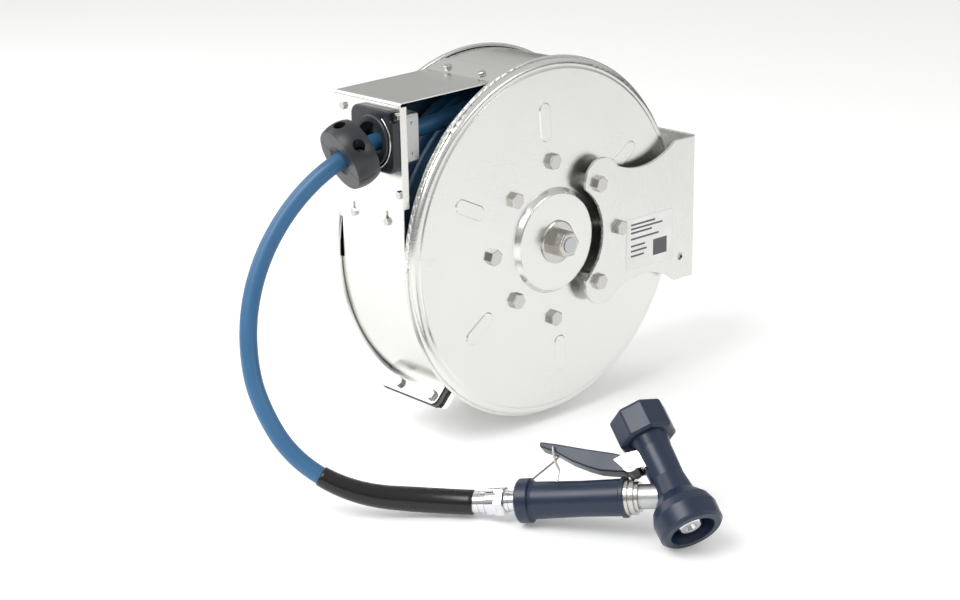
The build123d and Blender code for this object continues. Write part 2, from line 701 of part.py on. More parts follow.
with BuildPart() as ratchet_wheel:
    step = 360 / RATCHET_TEETH
    ratchet_outline = []
    for tooth in range(RATCHET_TEETH):
        ratchet_outline.append(polar(RATCHET_TIP, tooth * step))
        ratchet_outline.append(polar(RATCHET_ROOT, tooth * step + 3))
    with BuildSketch(disc_plane(RATCHET_SPAN[0])):
        with BuildLine():
            Polyline(*ratchet_outline, close=True)
        make_face()
        Circle(33, mode=Mode.SUBTRACT)
    extrude(amount=RATCHET_SPAN[1] - RATCHET_SPAN[0])
save(ratchet_wheel, "ratchet_wheel")

PAWL_START = RATCHET_SPAN[0] + 0.4
PAWL_THICKNESS = 3.4
pawl_plane = disc_plane(PAWL_START)
pawl_point = polar(PAWL_RADIUS, PAWL_ANGLE)
with BuildPart() as pawl:
    with BuildSketch(pawl_plane):
        with Locations(pawl_point):
            Circle(7)
        with BuildLine():
            Polyline(
                polar(PAWL_RADIUS + 5, PAWL_ANGLE),
                polar(PAWL_RADIUS - 5, PAWL_ANGLE),
                polar(RATCHET_TIP + 4, PAWL_ANGLE + 17),
                polar(RATCHET_TIP + 9, PAWL_ANGLE + 21),
                close=True,
            )
        make_face()
        with Locations(pawl_point):
            Circle(3.06, mode=Mode.SUBTRACT)
    extrude(amount=PAWL_THICKNESS)
save(pawl, "pawl")

with BuildPart() as pawl_pin:
    add(discs(pawl_plane, [pawl_point], 3, HUB_PLATE_X - PAWL_START))
save(pawl_pin, "pawl_pin")

with BuildPart() as pawl_spring:
    spring_centre = Vector(0, SPINDLE_Y + pawl_point[0], pawl_point[1])
    for turn in range(2):
        coil = Plane(
            origin=spring_centre + Vector(PAWL_START + PAWL_THICKNESS + 1 + 1.2 * turn, 0, 0),
            z_dir=(1, 0, 0),
        )
        coil_axis = Axis(coil.origin, (1, 0, 0))
        with BuildSketch(Plane(origin=coil.origin, x_dir=(1, 0, 0), z_dir=(0, 0, -1))):
            with Locations((0, 4.4)):
                Circle(0.65)
        revolve(axis=coil_axis)
save(pawl_spring, "pawl_spring")

with BuildPart() as wound_hose:
    add(lathe(PROFILE, SPINDLE, band(-SPOOL_HALF + 0.2, SPOOL_HALF - 0.2, CORE_RADIUS, LAYER_RADIUS)))
save(wound_hose, "wound_hose")

# ---------------------------------------------------------------- hose
LEAD_ROUTE = [(19, -246, 165.4), (19, -300, 160), (19, -356, 150.6), (19, -410, 147)]
GUN_END = GUN_ORIGIN + GRIP * -59
HOSE_ROUTE = [
    (19, -410, 147),
    (19, -450, 144.4),
    (10, -504, 123),
    (-6, -540, 87),
    (-11, -573, 44),
    (-7, -598, -3),
    (5, -613, -50),
    (25, -619, -99),
    (66, -609, -157),
    (121, -571, -193),
    (170, -503, -205.5),
    tuple(GUN_END),
]
SLEEVE_RUN = 8


def arc_radii(points):
    """The radius at each corner of a route: 0.45 of its shorter run over the tangent of half its turn."""
    radii = []
    for before, corner, after in zip(points, points[1:], points[2:]):
        first = Vector(corner) - Vector(before)
        second = Vector(after) - Vector(corner)
        half_turn = radians(first.get_angle(second)) / 2
        radii.append(0.45 * min(first.length, second.length) / tan(half_turn))
    return radii


def round_tube(points, radii, radius):
    """A round tube on straight runs joined by tangent arcs, its volume printed against its length."""
    with BuildLine() as line:
        FilletPolyline(*points, radius=radii)
    path = line.wire()
    with BuildPart() as piece:
        with BuildSketch(Plane(origin=path @ 0, z_dir=path % 0)):
            Circle(radius)
        sweep(path=path)
    ratio = piece.part.volume / (pi * radius**2 * path.length)
    print("tube length", round(path.length, 1), "volume ratio", round(ratio, 5))
    return piece.part


lead_radii = arc_radii(LEAD_ROUTE)
hose_radii = arc_radii(HOSE_ROUTE)
print("lead radii", [round(radius) for radius in lead_radii])
print("hose radii", [round(radius) for radius in hose_radii])

with BuildPart() as hose_lead:
    add(round_tube(LEAD_ROUTE, lead_radii, HOSE_RADIUS))
save(hose_lead, "hose_lead")

with BuildPart() as hose:
    add(round_tube(HOSE_ROUTE, hose_radii, HOSE_RADIUS))
save(hose, "hose")

run_start = Vector(HOSE_ROUTE[SLEEVE_RUN])
run_end = Vector(HOSE_ROUTE[SLEEVE_RUN + 1])
sleeve_start = (run_start + run_end) * 0.5
sleeve_points = [tuple(sleeve_start)] + HOSE_ROUTE[SLEEVE_RUN + 1:]
sleeve_radii = hose_radii[SLEEVE_RUN:]
with BuildPart() as hose_sleeve:
    add(round_tube(sleeve_points, sleeve_radii, SLEEVE_RADIUS))
    add(round_tube(sleeve_points, sleeve_radii, HOSE_RADIUS), mode=Mode.SUBTRACT)
save(hose_sleeve, "hose_sleeve")

# ---------------------------------------------------------------- ball stop on the hose
stop_axis = (Vector(HOSE_ROUTE[2]) - Vector(HOSE_ROUTE[1])).normalized()
stop_centre = Vector(HOSE_ROUTE[1]) + stop_axis * 26.5
stop_up = (Vector(0.51, 0, 0.86) - stop_axis * Vector(0.51, 0, 0.86).dot(stop_axis)).normalized()
STOP = Plane(origin=stop_centre, x_dir=stop_axis, z_dir=stop_up)
STOP_LINE = Axis(stop_centre, stop_axis)
CLAMP_SCREW_Y = 17


def stop_body():
    """The whole ball: cut flat at both ends and bored for the hose."""
    with BuildPart() as body:
        with Locations(STOP.location):
            Sphere(STOP_RADIUS)
        with BuildSketch(Plane(origin=stop_centre, z_dir=stop_axis)):
            Circle(STOP_RADIUS + 1)
        extrude(amount=STOP_HALF_LENGTH, both=True, mode=Mode.INTERSECT)
        add(lathe(STOP, STOP_LINE, band(-20, 20, 0, HOSE_RADIUS + 0.6)), mode=Mode.SUBTRACT)
        add(
            lathe(STOP, STOP_LINE, [(STOP_HALF_LENGTH + 1, 0), (STOP_HALF_LENGTH + 1, 19), (4, 0)]),
            mode=Mode.SUBTRACT,
        )
    return body.part


def clamp_places():
    """Clamp screw centres in the split plane, each side of the hose."""
    return [(0, -CLAMP_SCREW_Y), (0, CLAMP_SCREW_Y)]


with BuildPart() as hose_stop_upper:
    add(stop_body())
    with BuildSketch(STOP.offset(0.3)):
        Rectangle(100, 100)
    extrude(amount=60, mode=Mode.INTERSECT)
    add(discs(STOP.offset(16), clamp_places(), 6.5, 40), mode=Mode.SUBTRACT)
    add(discs(STOP, clamp_places(), 2.6, 40), mode=Mode.SUBTRACT)
save(hose_stop_upper, "hose_stop_upper")

with BuildPart() as hose_stop_lower:
    add(stop_body())
    with BuildSketch(STOP.offset(-0.3)):
        Rectangle(100, 100)
    extrude(amount=-60, mode=Mode.INTERSECT)
    add(discs(STOP.offset(-16), clamp_places(), 6.5, -40), mode=Mode.SUBTRACT)
    add(discs(STOP, clamp_places(), 2.6, -40), mode=Mode.SUBTRACT)
save(hose_stop_lower, "hose_stop_lower")

with BuildPart() as hose_stop_screws:
    add(discs(STOP.offset(16), clamp_places(), 4.5, 4))
    add(discs(STOP.offset(16), clamp_places(), 2.5, -34))
    add(hexagons(STOP.offset(-16), clamp_places(), 8, -3.5))
save(hose_stop_screws, "hose_stop_screws")

# ---------------------------------------------------------------- water gun
to_pivot = GUN.from_local_coords(Vector(LEVER_PIVOT[0], LEVER_PIVOT[1], 0)) - BARREL.origin
LEVER_HAND = 1 if to_pivot.dot(BARREL.y_dir) > 0 else -1

with BuildPart() as hose_ferrule:
    add(
        lathe(
            GUN,
            GRIP_AXIS,
            band(-59, -56, 5, 11),
            band(-56, -51, 5, 11.8),
            band(-51, -49, 5, 11),
            band(-49, -44, 5, 11.8),
            band(-44, -41.7, 5, 11),
            band(-41.7, -32, 5, 8),
        )
    )
    add(hose.part, mode=Mode.SUBTRACT)
    add(hose_sleeve.part, mode=Mode.SUBTRACT)
save(hose_ferrule, "hose_ferrule")

with BuildPart() as hose_swivel:
    add(hexagons(grip_station(-32), [(0, 0)], 27, 10))
    add(lathe(GUN, GRIP_AXIS, band(-41.2, -30, 8, 14.2), band(-22, -18, 6, 11)))
    add(lathe(GUN, GRIP_AXIS, band(-43, -31.5, 0, 8.06), band(-32, -17, 0, 6)), mode=Mode.SUBTRACT)
save(hose_swivel, "hose_swivel")

with BuildPart() as gun_pipe:
    add(
        lathe(
            GUN,
            GRIP_AXIS,
            band(-22, -18, 4.5, 6),
            band(-18, -8, 4.5, 10.5),
            band(-8, 136, 4.5, 9),
        )
    )
save(gun_pipe, "gun_pipe")

with BuildPart() as gun_grip:
    add(
        lathe(
            GUN,
            GRIP_AXIS,
            [
                (-8, 9),
                (107, 9),
                (107, 20.8),
                (103, 20.8),
                (102, 19),
                (60, 18.3),
                (10, 19.3),
                (7, 20.2),
                (5.5, 23),
                (-6, 23),
                (-8, 21),
            ],
        )
    )
save(gun_grip, "gun_grip")

with BuildPart() as gun_nut:
    add(
        lathe(
            GUN,
            GRIP_AXIS,
            band(107, 111, 9, 18.5),
            band(111, 112.5, 9, 16.5),
            band(112.5, 117, 9, 18),
            band(117, 121, 9, 15.5),
        )
    )
save(gun_nut, "gun_nut")

def lever_window(half_width, start, end, inner, outer):
    """A box beside the barrel on the lever's side, from start to end along it."""
    with BuildPart() as piece:
        with BuildSketch(BARREL.offset(-half_width)):
            with Locations(((start + end) / 2, LEVER_HAND * (inner + outer) / 2)):
                Rectangle(end - start, outer - inner)
        extrude(amount=2 * half_width)
    return piece.part


HEAD_RADIUS = 13
HEAD_BORE = 9.5
HEAD_START = -98
HEAD_END = 30
crossing = Vector(BARREL_CROSSING, 0, 0)
barrel_local = Vector(cos(radians(BARREL_ANGLE)), -sin(radians(BARREL_ANGLE)), 0)
pivot_local = Vector(LEVER_PIVOT[0], LEVER_PIVOT[1], 0)
NOSE_T = (pivot_local - crossing).dot(barrel_local)
nose_foot = crossing + barrel_local * NOSE_T
nose_reach = (nose_foot - pivot_local).length
nose_direction = (nose_foot - pivot_local).normalized()
NOSE_LENGTH = 21.3
WINDOW_SPAN = (NOSE_T - 15, NOSE_T + 13)
with BuildPart() as gun_head:
    add(lathe(BARREL, BARREL_AXIS, band(HEAD_START, HEAD_END, 0, HEAD_RADIUS)))
    add(lathe(GUN, GRIP_AXIS, band(121, BARREL_CROSSING, 0, 12.7)))
    add(lathe(BARREL, BARREL_AXIS, band(HEAD_START + 3, HEAD_END + 1, 0, HEAD_BORE)), mode=Mode.SUBTRACT)
    add(lathe(GUN, GRIP_AXIS, band(120, 136, 0, 9), band(130, 153, 0, 4.5)), mode=Mode.SUBTRACT)
    add(lever_window(5, NOSE_T - 10, NOSE_T + 4, 8, 16), mode=Mode.SUBTRACT)
save(gun_head, "gun_head")

CAP_SPAN = (-101.5, -67)
CAP_FLATS = 57
BELL_END = 43
with BuildPart() as gun_cover:
    cap_end = BARREL.origin + barrel_direction * CAP_SPAN[0]
    with BuildSketch(Plane(origin=cap_end, x_dir=gun_side, z_dir=barrel_direction)):
        RegularPolygon(CAP_FLATS / 2, 8, major_radius=False, rotation=22.5)
    extrude(amount=CAP_SPAN[1] - CAP_SPAN[0])
    fillet(gun_cover.edges(), radius=4)
    add(
        lathe(
            BARREL,
            BARREL_AXIS,
            [
                (CAP_SPAN[1] - 4, 0),
                (BELL_END, 0),
                (BELL_END, 30),
                (BELL_END - 3, 33),
                (BELL_END - 20, 33.5),
                (BELL_END - 30, 30),
                (BELL_END - 42, 20),
                (-20, 17.5),
                (-55, 18.5),
                (CAP_SPAN[1] - 4, 22),
            ],
        )
    )
    add(lathe(BARREL, BARREL_AXIS, band(HEAD_START, BELL_END, 0, HEAD_RADIUS)), mode=Mode.SUBTRACT)
    add(
        lathe(BARREL, BARREL_AXIS, [(20, 0), (BELL_END + 1, 0), (BELL_END + 1, 23.5), (20, 19)]),
        mode=Mode.SUBTRACT,
    )
    add(lathe(GUN, GRIP_AXIS, band(121, BARREL_CROSSING, 0, 12.7)), mode=Mode.SUBTRACT)
    add(lever_window(12.4, WINDOW_SPAN[0], WINDOW_SPAN[1], 2, 40), mode=Mode.SUBTRACT)
save(gun_cover, "gun_cover")

with BuildPart() as gun_nozzle:
    add(
        lathe(
            BARREL,
            BARREL_AXIS,
            [(20, 4), (34, 3.2), (38, 6), (38, 10.5), (36, 12.5), (30, 12.5), (30, 9.5), (20, 9.5)],
        )
    )
save(gun_nozzle, "gun_nozzle")

EAR_SPAN = (10, 12)
LEVER_PIN_RADIUS = 2.5


def pivot_point(out, across):
    """A point of the gun's side plane from the lever pivot, towards the barrel."""
    place = pivot_local + nose_direction * out + barrel_local * across
    return place.X, place.Y


def ear(start, amount):
    """One ear of the lever's bracket, with its pin hole."""
    with BuildPart() as piece:
        with BuildSketch(gun_layer(start)):
            with Locations(LEVER_PIVOT):
                Circle(8)
            with BuildLine():
                Polyline(
                    pivot_point(-13, -13),
                    pivot_point(0, -13.5),
                    pivot_point(18.5, -8.5),
                    pivot_point(18.5, 10.5),
                    pivot_point(4, 7),
                    pivot_point(-6, 5),
                    close=True,
                )
            make_face()
            with Locations(LEVER_PIVOT):
                Circle(LEVER_PIN_RADIUS, mode=Mode.SUBTRACT)
        extrude(amount=amount)
    return piece.part


with BuildPart() as lever_bracket:
    add(ear(EAR_SPAN[0], EAR_SPAN[1] - EAR_SPAN[0]))
    add(ear(-EAR_SPAN[0], EAR_SPAN[0] - EAR_SPAN[1]))
    with BuildSketch(gun_layer(-EAR_SPAN[1])):
        with BuildLine():
            Polyline(
                pivot_point(nose_reach - HEAD_RADIUS - 2, 5),
                pivot_point(nose_reach - 4, 5),
                pivot_point(nose_reach - 4, 10.5),
                pivot_point(nose_reach - HEAD_RADIUS - 2, 10.5),
                close=True,
            )
        make_face()
    extrude(amount=2 * EAR_SPAN[1])
    add(lathe(BARREL, BARREL_AXIS, band(HEAD_START, HEAD_END, 0, HEAD_RADIUS)), mode=Mode.SUBTRACT)
save(lever_bracket, "lever_bracket")

with BuildPart() as lever_pin:
    add(discs(gun_layer(-EAR_SPAN[1]), [LEVER_PIVOT], LEVER_PIN_RADIUS, 2 * EAR_SPAN[1]))
    add(discs(gun_layer(EAR_SPAN[1]), [LEVER_PIVOT], 3.8, 1.4))
    add(discs(gun_layer(-EAR_SPAN[1]), [LEVER_PIVOT], 3.8, -1.4))
save(lever_pin, "lever_pin")

LEVER_OUTLINE = [
    (10.5, 61.5),
    (30, 58),
    (62, 51),
    (91, 45.5),
    (107, 41),
    (112, 36),
    (112, 26),
    (104, 24),
    (92, 25.2),
    (78, 26.8),
    (63.5, 31.5),
    (46.5, 38.7),
    (29, 49),
    (12, 55.5),
]
with BuildPart() as lever:
    with BuildSketch(gun_layer(-LEVER_HALF)):
        with BuildLine():
            Polyline(*LEVER_OUTLINE, close=True)
        make_face()
        fillet(vertices(), radius=2)
    extrude(amount=2 * LEVER_HALF)
    side_faces = lever.faces().filter_by(Axis((0, 0, 0), gun_side))
    fillet(side_faces.edges(), radius=1.8)
    add(discs(gun_layer(-LEVER_HALF - 0.6), [LEVER_PIVOT], 7, 2 * LEVER_HALF + 1.2))
    with BuildSketch(gun_layer(-4)):
        with BuildLine():
            Polyline(
                pivot_point(0, -2),
                pivot_point(NOSE_LENGTH, -2),
                pivot_point(NOSE_LENGTH, 2),
                pivot_point(0, 2),
                close=True,
            )
        make_face()
        with Locations(pivot_point(NOSE_LENGTH, 0)):
            Circle(3)
    extrude(amount=8)
    add(discs(gun_layer(-30), [LEVER_PIVOT], LEVER_PIN_RADIUS + 0.06, 60), mode=Mode.SUBTRACT)
    add(discs(gun_layer(-30), [CLIP_PIVOT], CLIP_WIRE + 0.06, 60), mode=Mode.SUBTRACT)
save(lever, "lever")

STEM_RADIUS = 2.5
COLLAR_RADIUS = 8.4
with BuildPart() as valve_stem:
    add(
        lathe(
            BARREL,
            BARREL_AXIS,
            band(-88, 16, 0, STEM_RADIUS),
            band(NOSE_T + 3.5, NOSE_T + 5.5, 0, COLLAR_RADIUS),
            band(NOSE_T - 5.5, NOSE_T - 3.5, 0, COLLAR_RADIUS),
            band(-67, -65, 0, COLLAR_RADIUS),
            [(11, 0), (16, 0), (16, 6), (13, 8.6), (11, 8.6)],
        )
    )
save(valve_stem, "valve_stem")

SPRING_WIRE = 1
with BuildPart() as valve_spring:
    spring_start = BARREL.origin + barrel_direction * -93.9
    with BuildLine() as spring_line:
        Helix(pitch=5.15, height=25.75, radius=6.2, center=spring_start, direction=barrel_direction)
    with BuildSketch(Plane(origin=spring_line.line @ 0, z_dir=spring_line.line % 0)):
        Circle(SPRING_WIRE)
    sweep(path=spring_line.line, is_frenet=True)
save(valve_spring, "valve_spring")

CLIP_ROUTE = [
    (40, 9, 26),
    (41, 22, 25.2),
    (35, 32, 20),
    (30.5, 43, 15),
    (CLIP_PIVOT[0], CLIP_PIVOT[1], 12.5),
    (CLIP_PIVOT[0], CLIP_PIVOT[1], -12.5),
    (21, 48.5, -15),
    (-6, 33, -25.3),
    (-12, 15, -26),
]
with BuildPart() as hold_clip:
    with BuildLine() as clip_line:
        clip_points = [tuple(GUN.from_local_coords(Vector(*point))) for point in CLIP_ROUTE]
        FilletPolyline(*clip_points, radius=[4, 4, 5, 1.5, 1.5, 5, 5])
    clip_wire = clip_line.wire()
    with BuildSketch(Plane(origin=clip_wire @ 0, z_dir=clip_wire % 0)):
        Circle(CLIP_WIRE)
    sweep(path=clip_wire)
save(hold_clip, "hold_clip")
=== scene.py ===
import math

import bpy
from mathutils import Matrix, Vector
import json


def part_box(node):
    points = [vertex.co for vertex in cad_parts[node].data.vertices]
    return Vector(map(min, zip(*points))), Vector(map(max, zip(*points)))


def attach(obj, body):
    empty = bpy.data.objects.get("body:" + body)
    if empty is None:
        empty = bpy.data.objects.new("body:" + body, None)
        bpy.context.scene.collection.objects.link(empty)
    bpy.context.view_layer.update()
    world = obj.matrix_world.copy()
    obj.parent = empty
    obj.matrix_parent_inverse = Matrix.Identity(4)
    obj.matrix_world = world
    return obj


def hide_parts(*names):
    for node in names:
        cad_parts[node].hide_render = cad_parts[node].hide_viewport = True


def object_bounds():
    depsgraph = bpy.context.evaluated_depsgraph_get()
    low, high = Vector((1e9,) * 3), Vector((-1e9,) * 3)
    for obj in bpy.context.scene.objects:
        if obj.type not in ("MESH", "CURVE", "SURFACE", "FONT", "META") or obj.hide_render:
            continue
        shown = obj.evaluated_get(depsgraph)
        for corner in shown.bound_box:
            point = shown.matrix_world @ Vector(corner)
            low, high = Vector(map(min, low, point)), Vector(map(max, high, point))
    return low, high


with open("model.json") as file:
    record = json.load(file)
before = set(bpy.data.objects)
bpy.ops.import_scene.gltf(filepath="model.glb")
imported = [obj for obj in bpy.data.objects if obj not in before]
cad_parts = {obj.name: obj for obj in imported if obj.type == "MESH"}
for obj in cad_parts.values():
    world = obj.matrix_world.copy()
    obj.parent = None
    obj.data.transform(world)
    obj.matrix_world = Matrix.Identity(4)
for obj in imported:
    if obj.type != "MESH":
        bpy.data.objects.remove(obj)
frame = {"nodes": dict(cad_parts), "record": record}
start_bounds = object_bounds()

# ------------------------------------------------------------------ sizes, in metres
SPINDLE_Y = -0.230
FLOOR_GAP = 0.0006
FLOOR_Z = start_bounds[0].z - FLOOR_GAP
FLOOR_REACH = 6
FLOOR_THICKNESS = 0.01

# Hose: its diameter, where it leaves the outlet bracket, and the route's own corners
HOSE_DIAMETER = 0.019
HOSE_ROUTE = [
    (0.019, -0.410, 0.147),
    (0.019, -0.450, 0.1444),
    (0.010, -0.504, 0.123),
    (-0.006, -0.540, 0.087),
    (-0.011, -0.573, 0.044),
    (-0.007, -0.598, -0.003),
    (0.005, -0.613, -0.050),
    (0.025, -0.619, -0.099),
    (0.066, -0.609, -0.157),
    (0.121, -0.571, -0.193),
    (0.170, -0.503, -0.2055),
    (0.2042, -0.4791, -0.2039),
]

# Bend sleeve on the hose's last stretch: it swells from its first radius to its last
SLEEVE_LENGTH = 0.163
SLEEVE_RADII = (0.0108, 0.0132)
SLEEVE_SWELL = 1.6
TUBE_SIDES = 48
LAYER_SIDES = 20

# Wound hose: the radius of each layer, the pitch of its turns and where it leaves the top of the spool
LAYER_RADII = (0.1275, 0.1465, 0.1655)
TURN_PITCH = 0.0195
WOUND_HALF_WIDTH = 0.0425
LEAVING_X = 0.019
LEAVING_ANGLE = math.radians(97)
STEPS_PER_TURN = 48

# Label: each rule's start and end across the label and its height on it, as shares of the label
LABEL_RULES = [
    (0.10, 0.62, 0.88),
    (0.10, 0.78, 0.80),
    (0.10, 0.55, 0.72),
    (0.10, 0.70, 0.60),
    (0.10, 0.40, 0.46),
    (0.10, 0.44, 0.36),
    (0.10, 0.38, 0.26),
]
LABEL_BLOCK = (0.58, 0.16, 0.88, 0.48)
RULE_HALF_HEIGHT = 0.0011
INK_THICKNESS = 0.00012

# Shading: the fold that stays sharp on a CAD node
SHARP_FOLD = math.radians(28)

# Camera: where it stands, what it looks along, and its lens
CAMERA_PLACE = Vector((1.48825, -1.6113, 0.5753))
CAMERA_RIGHT = Vector((0.6709, 0.7413, -0.0197))
CAMERA_UP = Vector((-0.2174, 0.2220, 0.9505))
CAMERA_BACK = Vector((0.7089, -0.6334, 0.3101))
LENS = 67.5

# Studio: how bright the room is, and its greys from the floor (0) to the ceiling (1)
ROOM_STRENGTH = 0.72
ROOM_GREYS = [
    (0.02, 0.55),
    (0.42, 0.40),
    (0.50, 0.22),
    (0.55, 0.30),
    (0.62, 0.72),
    (0.75, 0.92),
    (0.98, 1.0),
]


# ------------------------------------------------------------------ helpers
def link(obj):
    """Puts an object in the scene and returns it."""
    bpy.context.scene.collection.objects.link(obj)
    return obj


def curve_object(name, points, radius):
    """A round bar along one open NURBS spline, whose control points are the points given."""
    data = bpy.data.curves.new(name, "CURVE")
    data.dimensions = "3D"
    data.bevel_depth = radius
    data.bevel_resolution = 8
    data.resolution_u = 24
    data.use_fill_caps = True
    spline = data.splines.new("NURBS")
    spline.points.add(len(points) - 1)
    for point, place in zip(spline.points, points):
        point.co = (*place, 1)
    spline.order_u = 3
    spline.use_endpoint_u = True
    return link(bpy.data.objects.new(name, data))


def line_points(curve):
    """The points of a curve's own line, in order, read with its bevel off for a moment."""
    depth = curve.data.bevel_depth
    curve.data.bevel_depth = 0
    curve.data.use_fill_caps = False
    evaluated = curve.evaluated_get(bpy.context.evaluated_depsgraph_get())
    mesh = bpy.data.meshes.new_from_object(evaluated)
    curve.data.bevel_depth = depth
    curve.data.use_fill_caps = True
    bpy.context.view_layer.update()
    return [v.co.copy() for v in mesh.vertices]


def last_stretch(points, length):
    """The points of a line's last stretch, of about the length given."""
    kept = [points[-1]]
    gone = 0
    for point in reversed(points[:-1]):
        gone += (point - kept[-1]).length
        kept.append(point)
        if gone >= length:
            break
    return kept[::-1]


def mesh_object(name, verts, faces, smooth=True):
    """A mesh piece from its corners and faces."""
    data = bpy.data.meshes.new(name)
    data.from_pydata([tuple(v) for v in verts], [], faces)
    data.validate()
    data.update()
    for polygon in data.polygons:
        polygon.use_smooth = smooth
    return link(bpy.data.objects.new(name, data))


def lofted_tube(name, points, radii, sides=TUBE_SIDES):
    """A closed round tube along points, with a radius for each point."""
    verts = []
    faces = []
    side = Vector((0, 0, 1))
    for index, (point, radius) in enumerate(zip(points, radii)):
        ahead = points[min(index + 1, len(points) - 1)]
        behind = points[max(index - 1, 0)]
        tangent = (ahead - behind).normalized()
        side = (side - tangent * side.dot(tangent)).normalized()
        other = tangent.cross(side)
        for step in range(sides):
            angle = 2 * math.pi * step / sides
            verts.append(point + radius * (math.cos(angle) * side + math.sin(angle) * other))
    for ring in range(len(points) - 1):
        for step in range(sides):
            following = (step + 1) % sides
            base = ring * sides
            above = base + sides
            faces.append((base + step, base + following, above + following, above + step))
    faces.append(tuple(range(sides - 1, -1, -1)))
    last = (len(points) - 1) * sides
    faces.append(tuple(range(last, last + sides)))
    return mesh_object(name, verts, faces)


def box_object(name, low, high):
    """A plain box between two corners."""
    verts = [(x, y, z) for x in (low[0], high[0]) for y in (low[1], high[1]) for z in (low[2], high[2])]
    faces = [(0, 1, 3, 2), (4, 6, 7, 5), (0, 4, 5, 1), (2, 3, 7, 6), (0, 2, 6, 4), (1, 5, 7, 3)]
    return mesh_object(name, verts, faces, smooth=False)


# ------------------------------------------------------------------ materials
def new_material(name, colour, metallic, roughness):
    """A material with its principled shader; returns the material, nodes, links and shader."""
    material = bpy.data.materials.new(name)
    material.use_nodes = True
    nodes = material.node_tree.nodes
    shader = nodes["Principled BSDF"]
    shader.inputs["Base Color"].default_value = (*colour, 1)
    shader.inputs["Metallic"].default_value = metallic
    shader.inputs["Roughness"].default_value = roughness
    return material, nodes, material.node_tree.links, shader


def object_coordinates(nodes, links, scale):
    """Object coordinates stretched by a scale."""
    source = nodes.new("ShaderNodeTexCoord")
    mapping = nodes.new("ShaderNodeMapping")
    mapping.inputs["Scale"].default_value = scale
    links.new(source.outputs["Object"], mapping.inputs["Vector"])
    return mapping.outputs["Vector"]


def noise(nodes, links, vector, scale, detail=6.0):
    """A noise texture's value."""
    texture = nodes.new("ShaderNodeTexNoise")
    texture.inputs["Scale"].default_value = scale
    texture.inputs["Detail"].default_value = detail
    links.new(vector, texture.inputs["Vector"])
    return texture.outputs["Fac"]


def remap(nodes, links, value, low, high):
    """A value from 0 to 1 spread between low and high."""
    node = nodes.new("ShaderNodeMapRange")
    node.inputs["From Min"].default_value = 0.3
    node.inputs["From Max"].default_value = 0.7
    node.inputs["To Min"].default_value = low
    node.inputs["To Max"].default_value = high
    links.new(value, node.inputs["Value"])
    return node.outputs["Result"]


def bump(nodes, links, height, strength, distance, under=None):
    """A bump normal from a height."""
    node = nodes.new("ShaderNodeBump")
    node.inputs["Strength"].default_value = strength
    node.inputs["Distance"].default_value = distance
    links.new(height, node.inputs["Height"])
    if under is not None:
        links.new(under, node.inputs["Normal"])
    return node.outputs["Normal"]


def rounded_normal(nodes, radius):
    """A normal that softens edges by a radius."""
    node = nodes.new("ShaderNodeBevel")
    node.samples = 4
    node.inputs["Radius"].default_value = radius
    return node.outputs["Normal"]


def sheet_steel(name, colour, roughness, grain_scale, edge):
    """Stainless sheet: a faint rolled grain, a cloudy polish and a slight waviness."""
    material, nodes, links, shader = new_material(name, colour, 1.0, roughness)
    grain_vector = object_coordinates(nodes, links, grain_scale)
    cloud_vector = object_coordinates(nodes, links, (1, 1, 1))
    grain = noise(nodes, links, grain_vector, 60, 8)
    cloud = noise(nodes, links, cloud_vector, 9, 3)
    mix = nodes.new("ShaderNodeMath")
    mix.operation = "ADD"
    links.new(remap(nodes, links, grain, -0.035, 0.035), mix.inputs[0])
    links.new(remap(nodes, links, cloud, roughness - 0.03, roughness + 0.04), mix.inputs[1])
    links.new(mix.outputs[0], shader.inputs["Roughness"])
    soft = rounded_normal(nodes, edge)
    waved = bump(nodes, links, cloud, 0.015, 0.003, soft)
    links.new(bump(nodes, links, grain, 0.02, 0.0002, waved), shader.inputs["Normal"])
    return material


def turned_metal(name, colour, roughness):
    """Bolts, nuts and fittings: fine machining marks and softened edges."""
    material, nodes, links, shader = new_material(name, colour, 1.0, roughness)
    vector = object_coordinates(nodes, links, (1, 1, 1))
    fine = noise(nodes, links, vector, 420, 5)
    links.new(remap(nodes, links, fine, roughness - 0.05, roughness + 0.07), shader.inputs["Roughness"])
    soft = rounded_normal(nodes, 0.0005)
    links.new(bump(nodes, links, fine, 0.05, 0.0002, soft), shader.inputs["Normal"])
    return material


def moulded(name, colour, roughness, grain_strength):
    """Rubber and plastic: moulded grain, slight colour change and soft edges."""
    material, nodes, links, shader = new_material(name, colour, 0.0, roughness)
    vector = object_coordinates(nodes, links, (1, 1, 1))
    grain = noise(nodes, links, vector, 900, 4)
    cloud = noise(nodes, links, vector, 25, 3)
    tone = nodes.new("ShaderNodeMix")
    tone.data_type = "RGBA"
    tone.inputs["A"].default_value = (*[0.85 * c for c in colour], 1)
    tone.inputs["B"].default_value = (*[min(1, 1.18 * c) for c in colour], 1)
    links.new(cloud, tone.inputs["Factor"])
    links.new(tone.outputs["Result"], shader.inputs["Base Color"])
    links.new(remap(nodes, links, cloud, roughness - 0.05, roughness + 0.06), shader.inputs["Roughness"])
    soft = rounded_normal(nodes, 0.0008)
    links.new(bump(nodes, links, grain, grain_strength, 0.0003, soft), shader.inputs["Normal"])
    return material


